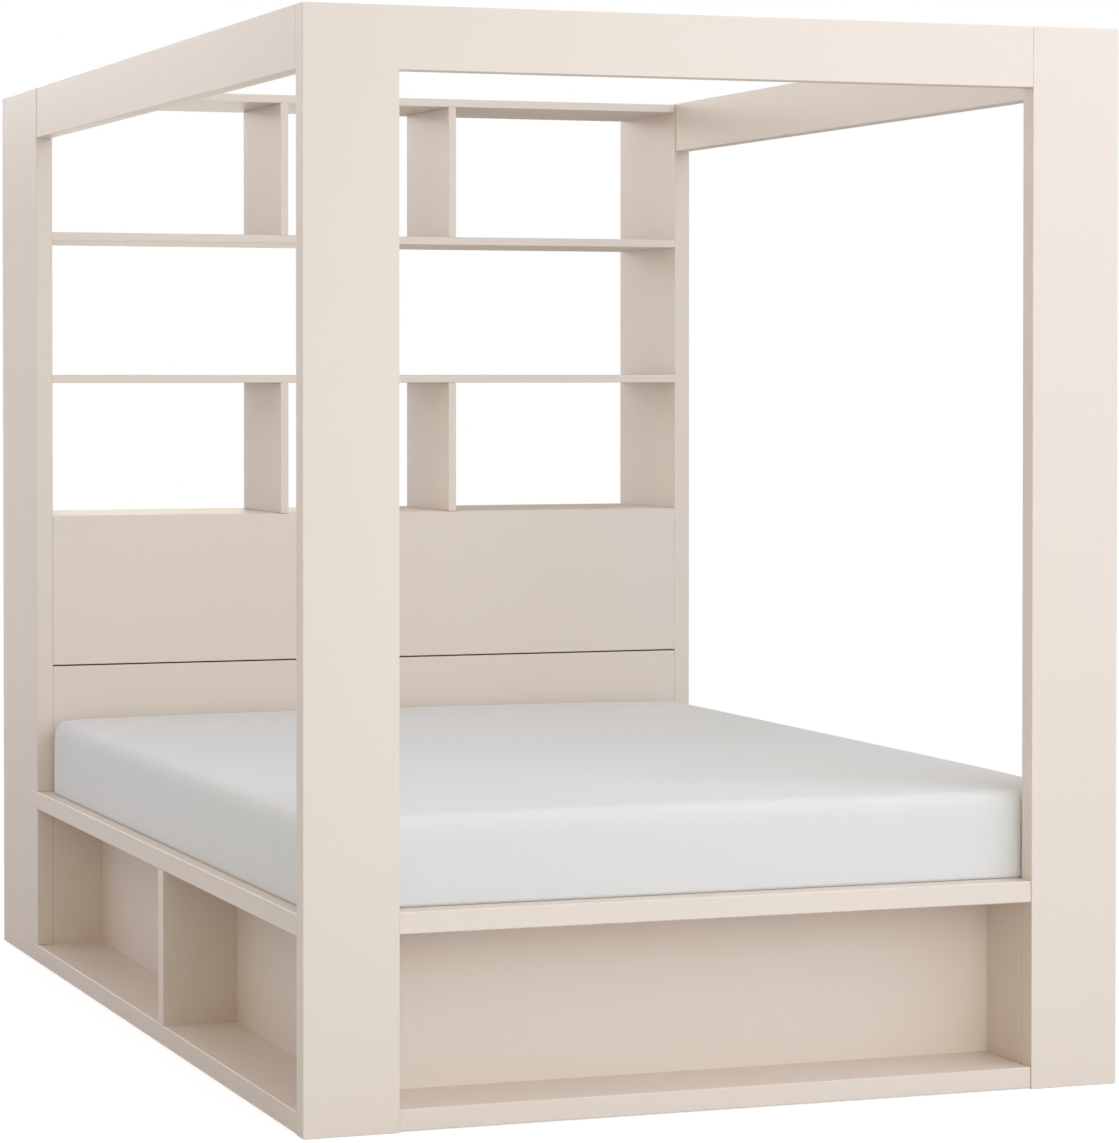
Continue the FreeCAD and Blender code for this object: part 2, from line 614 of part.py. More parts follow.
# Felt pads that lift the base's boards and the legs clear of the floor
pad_spots = []
for side in (LEFT, RIGHT):
    pad_x = inward(side, "Sizes.FloorPadInset")
    pad_spots += [(pad_x, y) for y in spread(side_y, 4, "Sizes.FloorPadInset")]
    pad_spots.append((inward(side, f"({batten_far} + Sizes.FloorPadInset)"), middle(foot_cabinet_y)))
    pad_spots.append((inward(side, f"({batten_far} + Sizes.FloorPadInset)"), middle(head_cross_y)))
pad_spots += [("0", y) for y in leg_places]
pad_middle = "Sizes.FloorPadHeight / 2"
pads = [
    cylinder("floor_pad", "z", (x, y, pad_middle), "Sizes.FloorPadRadius", "Sizes.FloorPadHeight")
    for x, y in pad_spots
]
group("floor_pads", pads)


def rounded_outline(half_width, half_length, corner, level):
    """A closed rectangle with round corners, lying level, from four lines and four arcs."""
    wx = half_width - corner
    wy = half_length - corner
    lean = corner * math.sqrt(0.5)
    edges = []
    for quarter in range(4):
        sign_x = (1, -1, -1, 1)[quarter]
        sign_y = (1, 1, -1, -1)[quarter]
        along_x = FreeCAD.Vector(sign_x * half_width, sign_y * wy, level)
        along_y = FreeCAD.Vector(sign_x * wx, sign_y * half_length, level)
        bulge = FreeCAD.Vector(sign_x * (wx + lean), sign_y * (wy + lean), level)
        first, last = (along_x, along_y) if quarter % 2 == 0 else (along_y, along_x)
        edges.append(Part.Arc(first, bulge, last).toShape())
        next_x = (-1, -1, 1, 1)[quarter]
        next_y = (1, -1, -1, 1)[quarter]
        if quarter % 2 == 0:
            following = FreeCAD.Vector(next_x * wx, next_y * half_length, level)
        else:
            following = FreeCAD.Vector(next_x * half_width, next_y * wy, level)
        edges.append(Part.LineSegment(last, following).toShape())
    return Part.Wire(edges)


def edge_profile(radius):
    """How far points round an edge lie from its upright face and from its level one."""
    turns = [math.radians(a) for a in (0, 30, 60, 90)]
    return [(radius * (1 - math.sin(a)), radius * (1 - math.cos(a))) for a in turns]


def mattress_shape():
    """A mattress with soft edges, round corners and a crowned top, lofted through level outlines."""
    half_width = size("MattressWidth") / 2
    half_length = size("MattressLength") / 2
    edge = size("MattressEdgeRadius")
    corner = size("MattressCornerRadius")
    border = size("MattressEdgeHeight") - size("MattressSeat")
    crown = size("MattressCrown")
    levels = edge_profile(size("MattressUnderRadius"))
    levels += [(inset, border - drop) for inset, drop in reversed(edge_profile(edge))]
    for share in (0.2, 0.45, 0.75):
        levels.append((edge + (half_width - edge) * share, border + crown * (1 - (1 - share) ** 2)))
    outlines = []
    for inset, level in levels:
        wide = half_width - inset
        outlines.append(rounded_outline(wide, half_length - inset, min(corner, wide / 2), level))
    return Part.makeLoft(outlines, True, True)


mattress = doc.addObject("Part::Feature", "mattress")
mattress.Shape = mattress_shape()
mattress_y = f"({FOOT_FACE} + Sizes.FootLedge + Sizes.MattressLength / 2)"
mattress.setExpression("Placement.Base.y", mattress_y)
mattress.setExpression("Placement.Base.z", f"{BASE_TOP} + Sizes.MattressSeat")
keep(mattress, "mattress")

doc.recompute()
failed = [obj.Name for obj in doc.Objects if {"Invalid", "Error"} & set(obj.State)]
failed += [obj.Label for obj in sub_parts if obj.Shape.isNull() or not obj.Shape.isValid()]
if failed:
    raise RuntimeError(f"not built: {failed}")

os.makedirs("parts", exist_ok=True)
for obj in sub_parts:
    obj.Shape.exportStep(f"parts/{obj.Label}.step")
print(f"{len(sub_parts)} sub-parts written")
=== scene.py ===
# %% [markdown]
# # A canopy bed with storage, dressed for a studio picture
#
# The construction comes from a CAD model, already at its real size and in metres. This lesson gives it
# its looks: the satin lacquer of the boards, the plain wood of the slats, screws with a driver's cross in
# their heads, a soft mattress in place of the stiff solid, and then a floor, light and a camera.

# %% Load the construction
import json
import math

import bmesh
import bpy
import numpy as np
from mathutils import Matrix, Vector


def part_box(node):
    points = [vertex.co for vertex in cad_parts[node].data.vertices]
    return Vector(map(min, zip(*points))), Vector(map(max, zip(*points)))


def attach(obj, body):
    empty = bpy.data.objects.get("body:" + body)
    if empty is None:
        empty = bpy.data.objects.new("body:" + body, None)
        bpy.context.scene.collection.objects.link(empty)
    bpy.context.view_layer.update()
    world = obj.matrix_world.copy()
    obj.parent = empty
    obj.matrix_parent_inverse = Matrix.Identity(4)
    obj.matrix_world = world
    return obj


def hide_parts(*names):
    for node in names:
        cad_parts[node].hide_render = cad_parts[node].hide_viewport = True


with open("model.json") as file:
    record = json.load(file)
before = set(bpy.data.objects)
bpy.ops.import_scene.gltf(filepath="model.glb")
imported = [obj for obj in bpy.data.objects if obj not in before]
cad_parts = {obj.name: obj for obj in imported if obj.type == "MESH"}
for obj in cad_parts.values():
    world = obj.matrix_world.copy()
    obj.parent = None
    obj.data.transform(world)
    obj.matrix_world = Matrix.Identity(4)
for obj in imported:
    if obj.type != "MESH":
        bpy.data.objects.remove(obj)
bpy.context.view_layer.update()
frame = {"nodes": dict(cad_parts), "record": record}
nodes = frame["nodes"]
scene = bpy.context.scene
print("pieces from CAD:", len(nodes))

# %% [markdown]
# ## Helpers for node trees
#
# Every finish below is a small tree of shader nodes, and one piece is made by a tree of geometry nodes. A
# few helpers keep the trees short: the first adds a node and sets or links its inputs by name, and the
# others wrap the nodes that come up again and again. A value that is the same all over a surface is
# written on the shader itself, so that it survives an export.

# %% Node helpers
def add(tree, kind, settings=None, **inputs):
    """Adds a node and sets its properties and its inputs, whose spaces are written as underscores."""
    node = tree.nodes.new(kind)
    for key, value in (settings or {}).items():
        setattr(node, key, value)
    for key, value in inputs.items():
        socket = node.inputs[key.replace("_", " ")]
        if isinstance(value, bpy.types.NodeSocket):
            tree.links.new(value, socket)
        else:
            socket.default_value = value
    return node


def new_finish(name):
    """An empty material with its surface shader, which the caller fills in."""
    material = bpy.data.materials.new(name)
    material.use_nodes = True
    tree = material.node_tree
    tree.nodes.clear()
    shader = add(tree, "ShaderNodeBsdfPrincipled")
    output = add(tree, "ShaderNodeOutputMaterial")
    tree.links.new(shader.outputs["BSDF"], output.inputs["Surface"])
    return material, tree, shader


def object_place(tree):
    return add(tree, "ShaderNodeTexCoord").outputs["Object"]


def mottle(tree, place, scale, detail=2.0):
    """Noise between 0 and 1 whose patches measure about one metre divided by scale."""
    return add(tree, "ShaderNodeTexNoise", Vector=place, Scale=scale, Detail=detail).outputs["Fac"]


def between(tree, factor, low, high):
    """Turns a factor from 0 to 1 into a number between low and high."""
    spread = add(tree, "ShaderNodeMapRange", Value=factor, To_Min=low, To_Max=high)
    return spread.outputs["Result"]


def blend_colours(tree, factor, first, second):
    ramp = add(tree, "ShaderNodeValToRGB", Fac=factor)
    ramp.color_ramp.elements[0].color = (*first, 1.0)
    ramp.color_ramp.elements[1].color = (*second, 1.0)
    return ramp.outputs["Color"]


def reckon(tree, operation, first, second):
    """One step of arithmetic on two numbers, each a socket or a plain value."""
    step = add(tree, "ShaderNodeMath", {"operation": operation})
    for socket, value in zip(step.inputs, (first, second)):
        if isinstance(value, bpy.types.NodeSocket):
            tree.links.new(value, socket)
        else:
            socket.default_value = value
    return step.outputs["Value"]


def relief(tree, height, depth):
    """A bump whose full height is a real depth in metres."""
    bump = add(tree, "ShaderNodeBump", Height=height, Distance=depth, Strength=1.0)
    return bump.outputs["Normal"]


# %% [markdown]
# ## Satin lacquer
#
# The boards are sprayed in a warm cream and rubbed to a satin. Up close such a film is never quite even:
# it has a faint orange peel a few millimetres wide, the gloss varies a little from place to place, and
# the colour drifts by a percent or so across a board. Three noises at three scales give that, and Object
# coordinates are in metres here, so a noise scale of 200 makes patches of about 5 mm.

# %% Lacquer
LACQUER_WARM = (0.760, 0.655, 0.575)
LACQUER_COOL = (0.741, 0.639, 0.561)
DRIFT_SCALE = 2.2
RUB_SCALE = 28.0
RUB_ROUGHNESS = (0.36, 0.46)
PEEL_SCALE = 210.0
PEEL_DEPTH = 0.00002
LACQUER_SHINE = 0.45


def make_lacquer():
    material, tree, shader = new_finish("cream_lacquer")
    place = object_place(tree)
    drift = mottle(tree, place, DRIFT_SCALE)
    rub = mottle(tree, place, RUB_SCALE, detail=4.0)
    peel = mottle(tree, place, PEEL_SCALE)
    tree.links.new(blend_colours(tree, drift, LACQUER_COOL, LACQUER_WARM), shader.inputs["Base Color"])
    tree.links.new(between(tree, rub, *RUB_ROUGHNESS), shader.inputs["Roughness"])
    tree.links.new(relief(tree, peel, PEEL_DEPTH), shader.inputs["Normal"])
    shader.inputs["Specular IOR Level"].default_value = LACQUER_SHINE
    return material


lacquer = make_lacquer()
print("finish:", lacquer.name)

# %% [markdown]
# ## Plain wood of the platform
#
# The slats, their battens, the beam under them and its legs are untreated softwood. Wood grain is noise
# that is stretched along the board: squeezed to narrow lines across it and drawn out along it. The
# stretch follows whichever axis the board runs along, so each direction gets its own copy of the finish.

# %% Wood
EARLY_WOOD = (0.60, 0.43, 0.26)
LATE_WOOD = (0.44, 0.28, 0.15)
GRAIN_STRETCH = 0.05
RING_SCALE = 38.0
FIBRE_SCALE = 420.0
FIBRE_SHARE = 0.35
FIBRE_DEPTH = 0.00015
WOOD_ROUGHNESS = (0.60, 0.78)


def make_wood(name, along):
    material, tree, shader = new_finish(name)
    stretch = [1.0, 1.0, 1.0]
    stretch["xyz".index(along)] = GRAIN_STRETCH
    squeezed = add(tree, "ShaderNodeMapping", Vector=object_place(tree), Scale=stretch).outputs["Vector"]
    rings = mottle(tree, squeezed, RING_SCALE, detail=3.0)
    fibres = mottle(tree, squeezed, FIBRE_SCALE, detail=4.0)
    grain = add(tree, "ShaderNodeMix", Factor=FIBRE_SHARE, A=rings, B=fibres).outputs["Result"]
    tree.links.new(blend_colours(tree, grain, LATE_WOOD, EARLY_WOOD), shader.inputs["Base Color"])
    tree.links.new(between(tree, fibres, *WOOD_ROUGHNESS), shader.inputs["Roughness"])
    tree.links.new(relief(tree, fibres, FIBRE_DEPTH), shader.inputs["Normal"])
    return material


woods = {along: make_wood(f"slat_wood_{along}", along) for along in "xyz"}
print("finishes:", [w.name for w in woods.values()])

# %% [markdown]
# ## Small hardware
#
# Pins, screws and plates are bright zinc-plated steel, the latches grey plastic, the bushes pale nylon and
# the floor pads felt. None of them is large, so one noise gives each its colour, its gloss and its relief.

# %% Hardware finishes
def make_plain(name, first, second, scale, roughness, depth, metallic=0.0):
    """A finish of two close colours with a fine relief."""
    material, tree, shader = new_finish(name)
    place = object_place(tree)
    patches = mottle(tree, place, scale, detail=3.0)
    tree.links.new(blend_colours(tree, patches, first, second), shader.inputs["Base Color"])
    tree.links.new(between(tree, patches, *roughness), shader.inputs["Roughness"])
    tree.links.new(relief(tree, patches, depth), shader.inputs["Normal"])
    shader.inputs["Metallic"].default_value = metallic
    return material


steel = make_plain(
    "zinc_plated_steel", (0.52, 0.52, 0.53), (0.64, 0.64, 0.65),
    scale=300.0, roughness=(0.28, 0.42), depth=0.00002, metallic=1.0,
)
latch_plastic = make_plain(
    "grey_plastic", (0.26, 0.26, 0.26), (0.30, 0.30, 0.30),
    scale=600.0, roughness=(0.45, 0.6), depth=0.00004,
)
nylon = make_plain(
    "pale_nylon", (0.66, 0.64, 0.60), (0.72, 0.70, 0.66),
    scale=400.0, roughness=(0.35, 0.5), depth=0.00003,
)
felt = make_plain(
    "grey_felt", (0.08, 0.075, 0.07), (0.14, 0.13, 0.125),
    scale=900.0, roughness=(0.9, 1.0), depth=0.0006,
)
print("finishes:", [m.name for m in (steel, latch_plastic, nylon, felt)])

# %% [markdown]
# ## Finishes onto the CAD pieces
#
# The record names a material slot for every piece. A dictionary turns the slot into a finish, and wood
# looks up the direction in which its piece is longest.

# %% Dress the CAD pieces
SLOT_FINISH = {
    "lacquered_board": lacquer, "steel": steel, "latch_plastic": latch_plastic,
    "bush_nylon": nylon, "felt": felt,
}
WOOD_ALONG = {"slats": "x", "centre_leg_foot": "z", "centre_leg_head": "z"}
dressed = 0
for row in frame["record"]["subparts"]:
    piece = nodes[row["node"]]
    finish = SLOT_FINISH.get(row["material_slot"])
    if row["material_slot"] == "slat_wood":
        finish = woods[WOOD_ALONG.get(row["node"], "y")]
    if finish is not None:
        for slot in piece.material_slots:
            slot.material = finish
        dressed += 1
print("CAD pieces dressed:", dressed)

# %% [markdown]
# ## Batten screws
#
# Twelve screws hold the battens that carry the slats. Each has a flat round head with a cross for the
# driver and a plain shank in the wood. Modelling one and copying it by hand would do, but a screw is a
# shape that repeats, so a tree of geometry nodes makes one from a few named sizes and sets a copy on every
# point of a small mesh, with the head turned to the middle of the bed. The copies are then made real,
# because an export drops instances.

# %% One screw
CROSS_LENGTH = 0.0056
CROSS_WIDTH = 0.0012
CROSS_DEPTH = 0.0016
HEAD_SIDES = 32
SHANK_SIDES = 16


def shifted(tree, shape, lift):
    """The shape moved along Z."""
    place = add(tree, "ShaderNodeCombineXYZ", Z=lift).outputs["Vector"]
    return add(tree, "GeometryNodeTransform", Geometry=shape, Translation=place).outputs["Geometry"]


def driver_cross(tree):
    """Two crossed bars, which the driver's recess is cut with."""
    both = add(tree, "GeometryNodeJoinGeometry")
    for plan in ((CROSS_LENGTH, CROSS_WIDTH), (CROSS_WIDTH, CROSS_LENGTH)):
        bar = add(tree, "GeometryNodeMeshCube", Size=(*plan, 2 * CROSS_DEPTH)).outputs["Mesh"]
        tree.links.new(bar, both.inputs["Geometry"])
    return both.outputs["Geometry"]


def one_screw(tree, given):
    """A screw along Z, with the face of its head at zero and its shank below."""
    head = add(
        tree, "GeometryNodeMeshCylinder", Vertices=HEAD_SIDES,
        Radius=given["Head Radius"], Depth=given["Head Height"],
    ).outputs["Mesh"]
    head = shifted(tree, head, reckon(tree, "MULTIPLY", given["Head Height"], -0.5))
    cut = add(
        tree, "GeometryNodeMeshBoolean", {"operation": "DIFFERENCE", "solver": "EXACT"},
        Mesh_1=head, Mesh_2=driver_cross(tree), Self_Intersection=True,
    )
    shank = add(
        tree, "GeometryNodeMeshCylinder", Vertices=SHANK_SIDES,
        Radius=given["Shank Radius"], Depth=given["Shank Length"],
    ).outputs["Mesh"]
    half_shank = reckon(tree, "MULTIPLY", given["Shank Length"], -0.5)
    shank = shifted(tree, shank, reckon(tree, "SUBTRACT", half_shank, given["Head Height"]))
    screw = add(tree, "GeometryNodeJoinGeometry")
    tree.links.new(cut.outputs["Mesh"], screw.inputs["Geometry"])
    tree.links.new(shank, screw.inputs["Geometry"])
    return screw.outputs["Geometry"]


# %% [markdown]
# The tree takes the points, the screw's sizes and its finish as named inputs. A screw is built along Z, so
# every copy is turned until its Z points at the plane X = 0, the middle of the bed.

# %% Screw tree
def screw_tree():
    """A tree that sets a screw on every point, with the face of its head there."""
    tree = bpy.data.node_groups.new("batten_screw", "GeometryNodeTree")
    tree.is_modifier = True
    tree.interface.new_socket("Points", in_out="INPUT", socket_type="NodeSocketGeometry")
    for size in ("Head Radius", "Head Height", "Shank Radius", "Shank Length"):
        tree.interface.new_socket(size, in_out="INPUT", socket_type="NodeSocketFloat")
    tree.interface.new_socket("Finish", in_out="INPUT", socket_type="NodeSocketMaterial")
    tree.interface.new_socket("Screws", in_out="OUTPUT", socket_type="NodeSocketGeometry")
    given = add(tree, "NodeGroupInput").outputs

    point = add(tree, "GeometryNodeInputPosition").outputs["Position"]
    across = add(tree, "ShaderNodeSeparateXYZ", Vector=point).outputs["X"]
    inward = reckon(tree, "MULTIPLY", across, -1.0)
    facing = add(tree, "ShaderNodeCombineXYZ", X=inward).outputs["Vector"]
    turn = add(tree, "FunctionNodeAlignRotationToVector", {"axis": "Z"}, Vector=facing)
    copies = add(
        tree, "GeometryNodeInstanceOnPoints", Points=given["Points"],
        Instance=one_screw(tree, given), Rotation=turn.outputs["Rotation"],
    ).outputs["Instances"]
    real = add(tree, "GeometryNodeRealizeInstances", Geometry=copies).outputs["Geometry"]
    finished = add(tree, "GeometryNodeSetMaterial", Geometry=real, Material=given["Finish"])
    output = add(tree, "NodeGroupOutput")
    tree.links.new(finished.outputs["Geometry"], output.inputs["Screws"])
    return tree


batten_screw = screw_tree()
print("nodes in the screw tree:", len(batten_screw.nodes))

# %% [markdown]
# The points come from the frame. The screws' own box gives the radius and level of the heads and the
# length from head to tip, and the battens' inner faces give the plane that the heads lie in. A modifier's
# inputs are set by their identifiers, before the tree is first evaluated, and the result is baked to a
# plain mesh. The baked mesh can start with an empty material slot, which is taken out.

# %% Screws
SCREWS_PER_BATTEN = 6
HEAD_HEIGHT = 0.003
SHANK_RADIUS = 0.0025

screws_low, screws_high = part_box("batten_screws")
head_radius = (screws_high.z - screws_low.z) / 2
head_level = (screws_high.z + screws_low.z) / 2
head_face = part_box("slat_batten_right")[0].x
rows_along = np.linspace(screws_low.y + head_radius, screws_high.y - head_radius, SCREWS_PER_BATTEN)
screw_points = [(side * head_face, y, head_level) for side in (-1, 1) for y in rows_along]
screw_sizes = {
    "Head Radius": head_radius, "Head Height": HEAD_HEIGHT, "Shank Radius": SHANK_RADIUS,
    "Shank Length": screws_high.x - head_face - HEAD_HEIGHT, "Finish": steel,
}


def bake_screws(name):
    """Runs the screw tree on the points and leaves its result as the piece's own mesh."""
    point_mesh = bpy.data.meshes.new(name)
    point_mesh.from_pydata(screw_points, [], [])
    piece = bpy.data.objects.new(name, point_mesh)
    scene.collection.objects.link(piece)
    maker = piece.modifiers.new("screws", "NODES")
    maker.node_group = batten_screw
    for item in batten_screw.interface.items_tree:
        if item.in_out == "INPUT" and item.name in screw_sizes:
            maker[item.identifier] = screw_sizes[item.name]
    made = piece.evaluated_get(bpy.context.evaluated_depsgraph_get())
    piece.data = bpy.data.meshes.new_from_object(made)
    piece.modifiers.remove(maker)
    if piece.data.materials[0] is None:
        piece.data.materials.pop(index=0)
    return piece


screws = bake_screws("cross_head_screws")
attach(screws, "frame")
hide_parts("batten_screws")
print("screws:", len(screw_points), "faces:", len(screws.data.polygons))

# %% [markdown]
# ## Mattress
#
# The mattress is foam in a smooth, tight cover: a block with soft shoulders and a top that falls away
# towards its edges, least at the head end. It could be a box with a bevel, but then its top would be dead
# flat. Here a grid is laid over a box and pulled onto such a block by a distance formula, and then cloth
# with a little pressure inside swells it the way a filled cover swells.
#
# The box starts a little inside the sides of the CAD solid, so that its own sides fill it once they are
# swollen. Its lines crowd towards the edges, where the shape turns, and its lower rim is creased, so that
# it meets the boards in a tight line.

# %% Mattress grid
MATTRESS_STEP = 0.018
MERGE_SHARE = 0.01
EDGE_CROWDING = 0.5
CREASE_ANGLE = math.pi / 4
SIDE_SWELL = 0.002

mattress_low, mattress_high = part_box("mattress")
block_high = mattress_high - Vector((SIDE_SWELL, SIDE_SWELL, 0.0))
block_low = mattress_low + Vector((SIDE_SWELL, SIDE_SWELL, 0.0))
block_middle = (block_low + block_high) / 2
block_half = np.array((block_high - block_low) / 2)


def crowd(share):
    """Moves a place between -1 and 1 towards the nearer end, so that lines crowd at the edges."""
    return (1 - EDGE_CROWDING) * share + EDGE_CROWDING * math.sin(share * math.pi / 2)


def lay_grid(half, step):
    """A box of quads, about one step wide, centred on the origin, with a creased lower rim."""
    counts = [max(2, round(2 * size / step)) for size in half]
    grid = bmesh.new()
    for axis in range(3):
        for end in (-1, 1):
            u, v = (axis + 1) % 3, (axis + 2) % 3
            rows = []
            for i in range(counts[u] + 1):
                row = []
                for j in range(counts[v] + 1):
                    corner = [0.0, 0.0, 0.0]
                    corner[axis] = end * half[axis]
                    corner[u] = half[u] * crowd(2 * i / counts[u] - 1)
                    corner[v] = half[v] * crowd(2 * j / counts[v] - 1)
                    row.append(grid.verts.new(corner))
                rows.append(row)
            for i in range(counts[u]):
                for j in range(counts[v]):
                    quad = [rows[i][j], rows[i + 1][j], rows[i + 1][j + 1], rows[i][j + 1]]
                    grid.faces.new(quad if end > 0 else quad[::-1])
    near = step * MERGE_SHARE
    bmesh.ops.remove_doubles(grid, verts=grid.verts, dist=near)
    crease = grid.edges.layers.float.new("crease_edge")
    for edge in grid.edges:
        on_underside = all(corner.co.z < near - half[2] for corner in edge.verts)
        if on_underside and edge.calc_face_angle(0.0) > CREASE_ANGLE:
            edge[crease] = 1.0
    return grid


grid = lay_grid(block_half, MATTRESS_STEP)
print("quads in the grid:", len(grid.faces))

# %% [markdown]
# A point's distance from a block with round edges is its distance from a smaller block, less the radius.
# One radius rounds the corners in plan, another the shoulders, and the height of the top falls off
# towards the edges. Each point of the grid then moves along the slope of that distance until it lies on
# the block.

# %% Rounded block
PLAN_RADIUS = 0.045
SHOULDER_RADIUS = 0.027
UNDER_RADIUS = 0.002
WIDE_DROP = 0.006
WIDE_REACH = 0.18
NEAR_DROP = 0.004
NEAR_REACH = 0.035
HEAD_END_SHARE = 0.35


def edge_drop(points):
    """How far the top lies below its middle: little over most of it, and more towards each edge."""
    to_edge = np.maximum(block_half[:2] - np.abs(points[:, :2]), 0)
    drop = WIDE_DROP * np.exp(-to_edge / WIDE_REACH) + NEAR_DROP * np.exp(-to_edge / NEAR_REACH)
    at_head = points[:, 1] > 0
    drop[at_head, 1] *= HEAD_END_SHARE
    return drop.sum(axis=1)


def block_distance(points):
    """Distance of points from the rounded block, negative inside it."""
    plan = np.abs(points[:, :2]) - (block_half[:2] - PLAN_RADIUS)
    outline = np.linalg.norm(np.maximum(plan, 0), axis=1) + np.minimum(plan.max(axis=1), 0) - PLAN_RADIUS
    upper = points[:, 2] > 0
    edge = np.where(upper, SHOULDER_RADIUS, UNDER_RADIUS)
    lift = np.abs(points[:, 2]) - block_half[2] + np.where(upper, edge_drop(points), 0.0)
    corner = np.stack([outline + edge, lift + edge], axis=1)
    return np.linalg.norm(np.maximum(corner, 0), axis=1) + np.minimum(corner.max(axis=1), 0) - edge


def pull_onto_block(points, rounds=6, probe=1e-5):
    """Moves points along the distance's slope until they lie on the block."""
    for _ in range(rounds):
        rises = [
            block_distance(points + probe * axis) - block_distance(points - probe * axis)
            for axis in np.eye(3)
        ]
        slope = np.stack(rises, axis=1) / (2 * probe)
        points = points - block_distance(points)[:, None] * slope
    return points


mattress_mesh = bpy.data.meshes.new("soft_mattress")
grid.to_mesh(mattress_mesh)
grid.free()
rest_points = np.empty(len(mattress_mesh.vertices) * 3)
mattress_mesh.vertices.foreach_get("co", rest_points)
rest_points = pull_onto_block(rest_points.reshape(-1, 3)) + np.array(block_middle)
mattress_mesh.vertices.foreach_set("co", rest_points.ravel())
mattress_mesh.polygons.foreach_set("use_smooth", [True] * len(mattress_mesh.polygons))
mattress = bpy.data.objects.new("soft_mattress", mattress_mesh)
scene.collection.objects.link(mattress)
print("mattress from", rest_points.min(axis=0).round(3), "to", rest_points.max(axis=0).round(3))

# %% [markdown]
# The cover is simulated for a few frames, with its underside held, because it rests on the slats. Pressure
# swells it everywhere, so afterwards the movement is measured and brought down until its largest part is
# the few millimetres that foam lets a cover swell. The top then stands a little above the CAD solid.

# %% Mattress swelling
TOP_SWELL = 0.003
SWELL_FRAMES = 20
SWELL_PRESSURE = 4.0
LEAST_MOVE = 1e-6


def swell(piece, start):
    """Simulates the cover under pressure and returns how far each point of it moved."""
    held = piece.vertex_groups.new(name="underside")
    floor_level = start[:, 2].min()
    resting = [int(i) for i in np.flatnonzero(start[:, 2] < floor_level + UNDER_RADIUS)]
    held.add(resting, 1.0, "REPLACE")
    cover = piece.modifiers.new("cover", "CLOTH")
    cover.settings.use_pressure = True
    cover.settings.uniform_pressure_force = SWELL_PRESSURE
    cover.settings.vertex_group_mass = held.name
    cover.settings.effector_weights.gravity = 0.0
    for frame_number in range(1, SWELL_FRAMES + 1):
        scene.frame_set(frame_number)
    swollen = piece.evaluated_get(bpy.context.evaluated_depsgraph_get())
    moved = np.empty(len(start) * 3)
    swollen.data.vertices.foreach_get("co", moved)
    piece.modifiers.remove(cover)
    scene.frame_set(1)
    return moved.reshape(-1, 3) - start


def settle(move):
    """Scales the movement down to the swell of the sides and of the top."""
    limits = np.array((SIDE_SWELL, SIDE_SWELL, TOP_SWELL))
    return move * limits / np.maximum(np.abs(move).max(axis=0), LEAST_MOVE)


move = swell(mattress, rest_points)
print("largest free swell in mm:", np.abs(move).max(axis=0).round(4) * 1000)
mattress_mesh.vertices.foreach_set("co", (rest_points + settle(move)).ravel())
mattress_mesh.update()
smoothing = mattress.modifiers.new("smoothing", "SUBSURF")
smoothing.levels = 1
smoothing.render_levels = 1

# %% [markdown]
# ## Mattress cover
#
# The cover is a fine white jersey. Its loops are about a millimetre and a half wide, so from across the
# room they only dull the surface, and close up they show as a soft grid. Three crossed waves, one along
# each axis, make a grid of bumps on every side of the block without any unwrapping. A wave texture of
# scale 1 has about three waves in a metre, so the loops in a metre are divided by that.

# %% Cover fabric
COVER_LIGHT = (0.706, 0.696, 0.688)
COVER_SHADE = (0.683, 0.673, 0.665)
LOOPS_PER_METRE = 640.0
WAVES_PER_SCALE = 20.0 / (2 * math.pi)
LOOP_DEPTH = 0.00006
SLUB_SCALE = 9.0
COVER_ROUGHNESS = 0.85
COVER_SHEEN = 0.15
SHEEN_ROUGHNESS = 0.5


def make_cover():
    material, tree, shader = new_finish("white_jersey")
    place = object_place(tree)
    loops = 0.0
    for axis in "XYZ":
        wave = add(
            tree, "ShaderNodeTexWave", {"bands_direction": axis}, Vector=place,
            Scale=LOOPS_PER_METRE / WAVES_PER_SCALE, Distortion=0.6, Detail=1.0, Detail_Scale=40.0,
        ).outputs["Fac"]
        loops = reckon(tree, "ADD", loops, wave)
    slubs = mottle(tree, place, SLUB_SCALE, detail=5.0)
    tree.links.new(blend_colours(tree, slubs, COVER_SHADE, COVER_LIGHT), shader.inputs["Base Color"])
    tree.links.new(relief(tree, loops, LOOP_DEPTH), shader.inputs["Normal"])
    shader.inputs["Roughness"].default_value = COVER_ROUGHNESS
    shader.inputs["Sheen Weight"].default_value = COVER_SHEEN
    shader.inputs["Sheen Roughness"].default_value = SHEEN_ROUGHNESS
    return material


mattress_mesh.materials.append(make_cover())
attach(mattress, "frame")
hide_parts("mattress")
print("mattress dressed in", mattress_mesh.materials[0].name)

# %% [markdown]
# ## Studio
#
# The bed stands on white paper in a white studio, as furniture does in a catalogue. A floor lit like that
# comes out grey in the corners, and a photographer then lights the paper by itself until it is white.
# Here the camera sees paper that glows by itself and keeps a faint shadow, and every other ray meets a
# plain pale floor that throws light back at the bed. Away from the bed the paper fades into the white
# behind it.

# %% Floor
FLOOR_SIZE = 60.0
FLOOR_PALE = (0.65, 0.65, 0.65, 1.0)
PAPER_GLOW = 0.80
PAPER_SHADE = (0.30, 0.30, 0.30, 1.0)
FADE_START = 2.5
FADE_END = 7.0


def camera_ray(tree):
    return add(tree, "ShaderNodeLightPath").outputs["Is Camera Ray"]


def mix_shaders(tree, factor, first, second):
    mix = add(tree, "ShaderNodeMixShader", Fac=factor)
    tree.links.new(first, mix.inputs[1])
    tree.links.new(second, mix.inputs[2])
    return mix.outputs["Shader"]


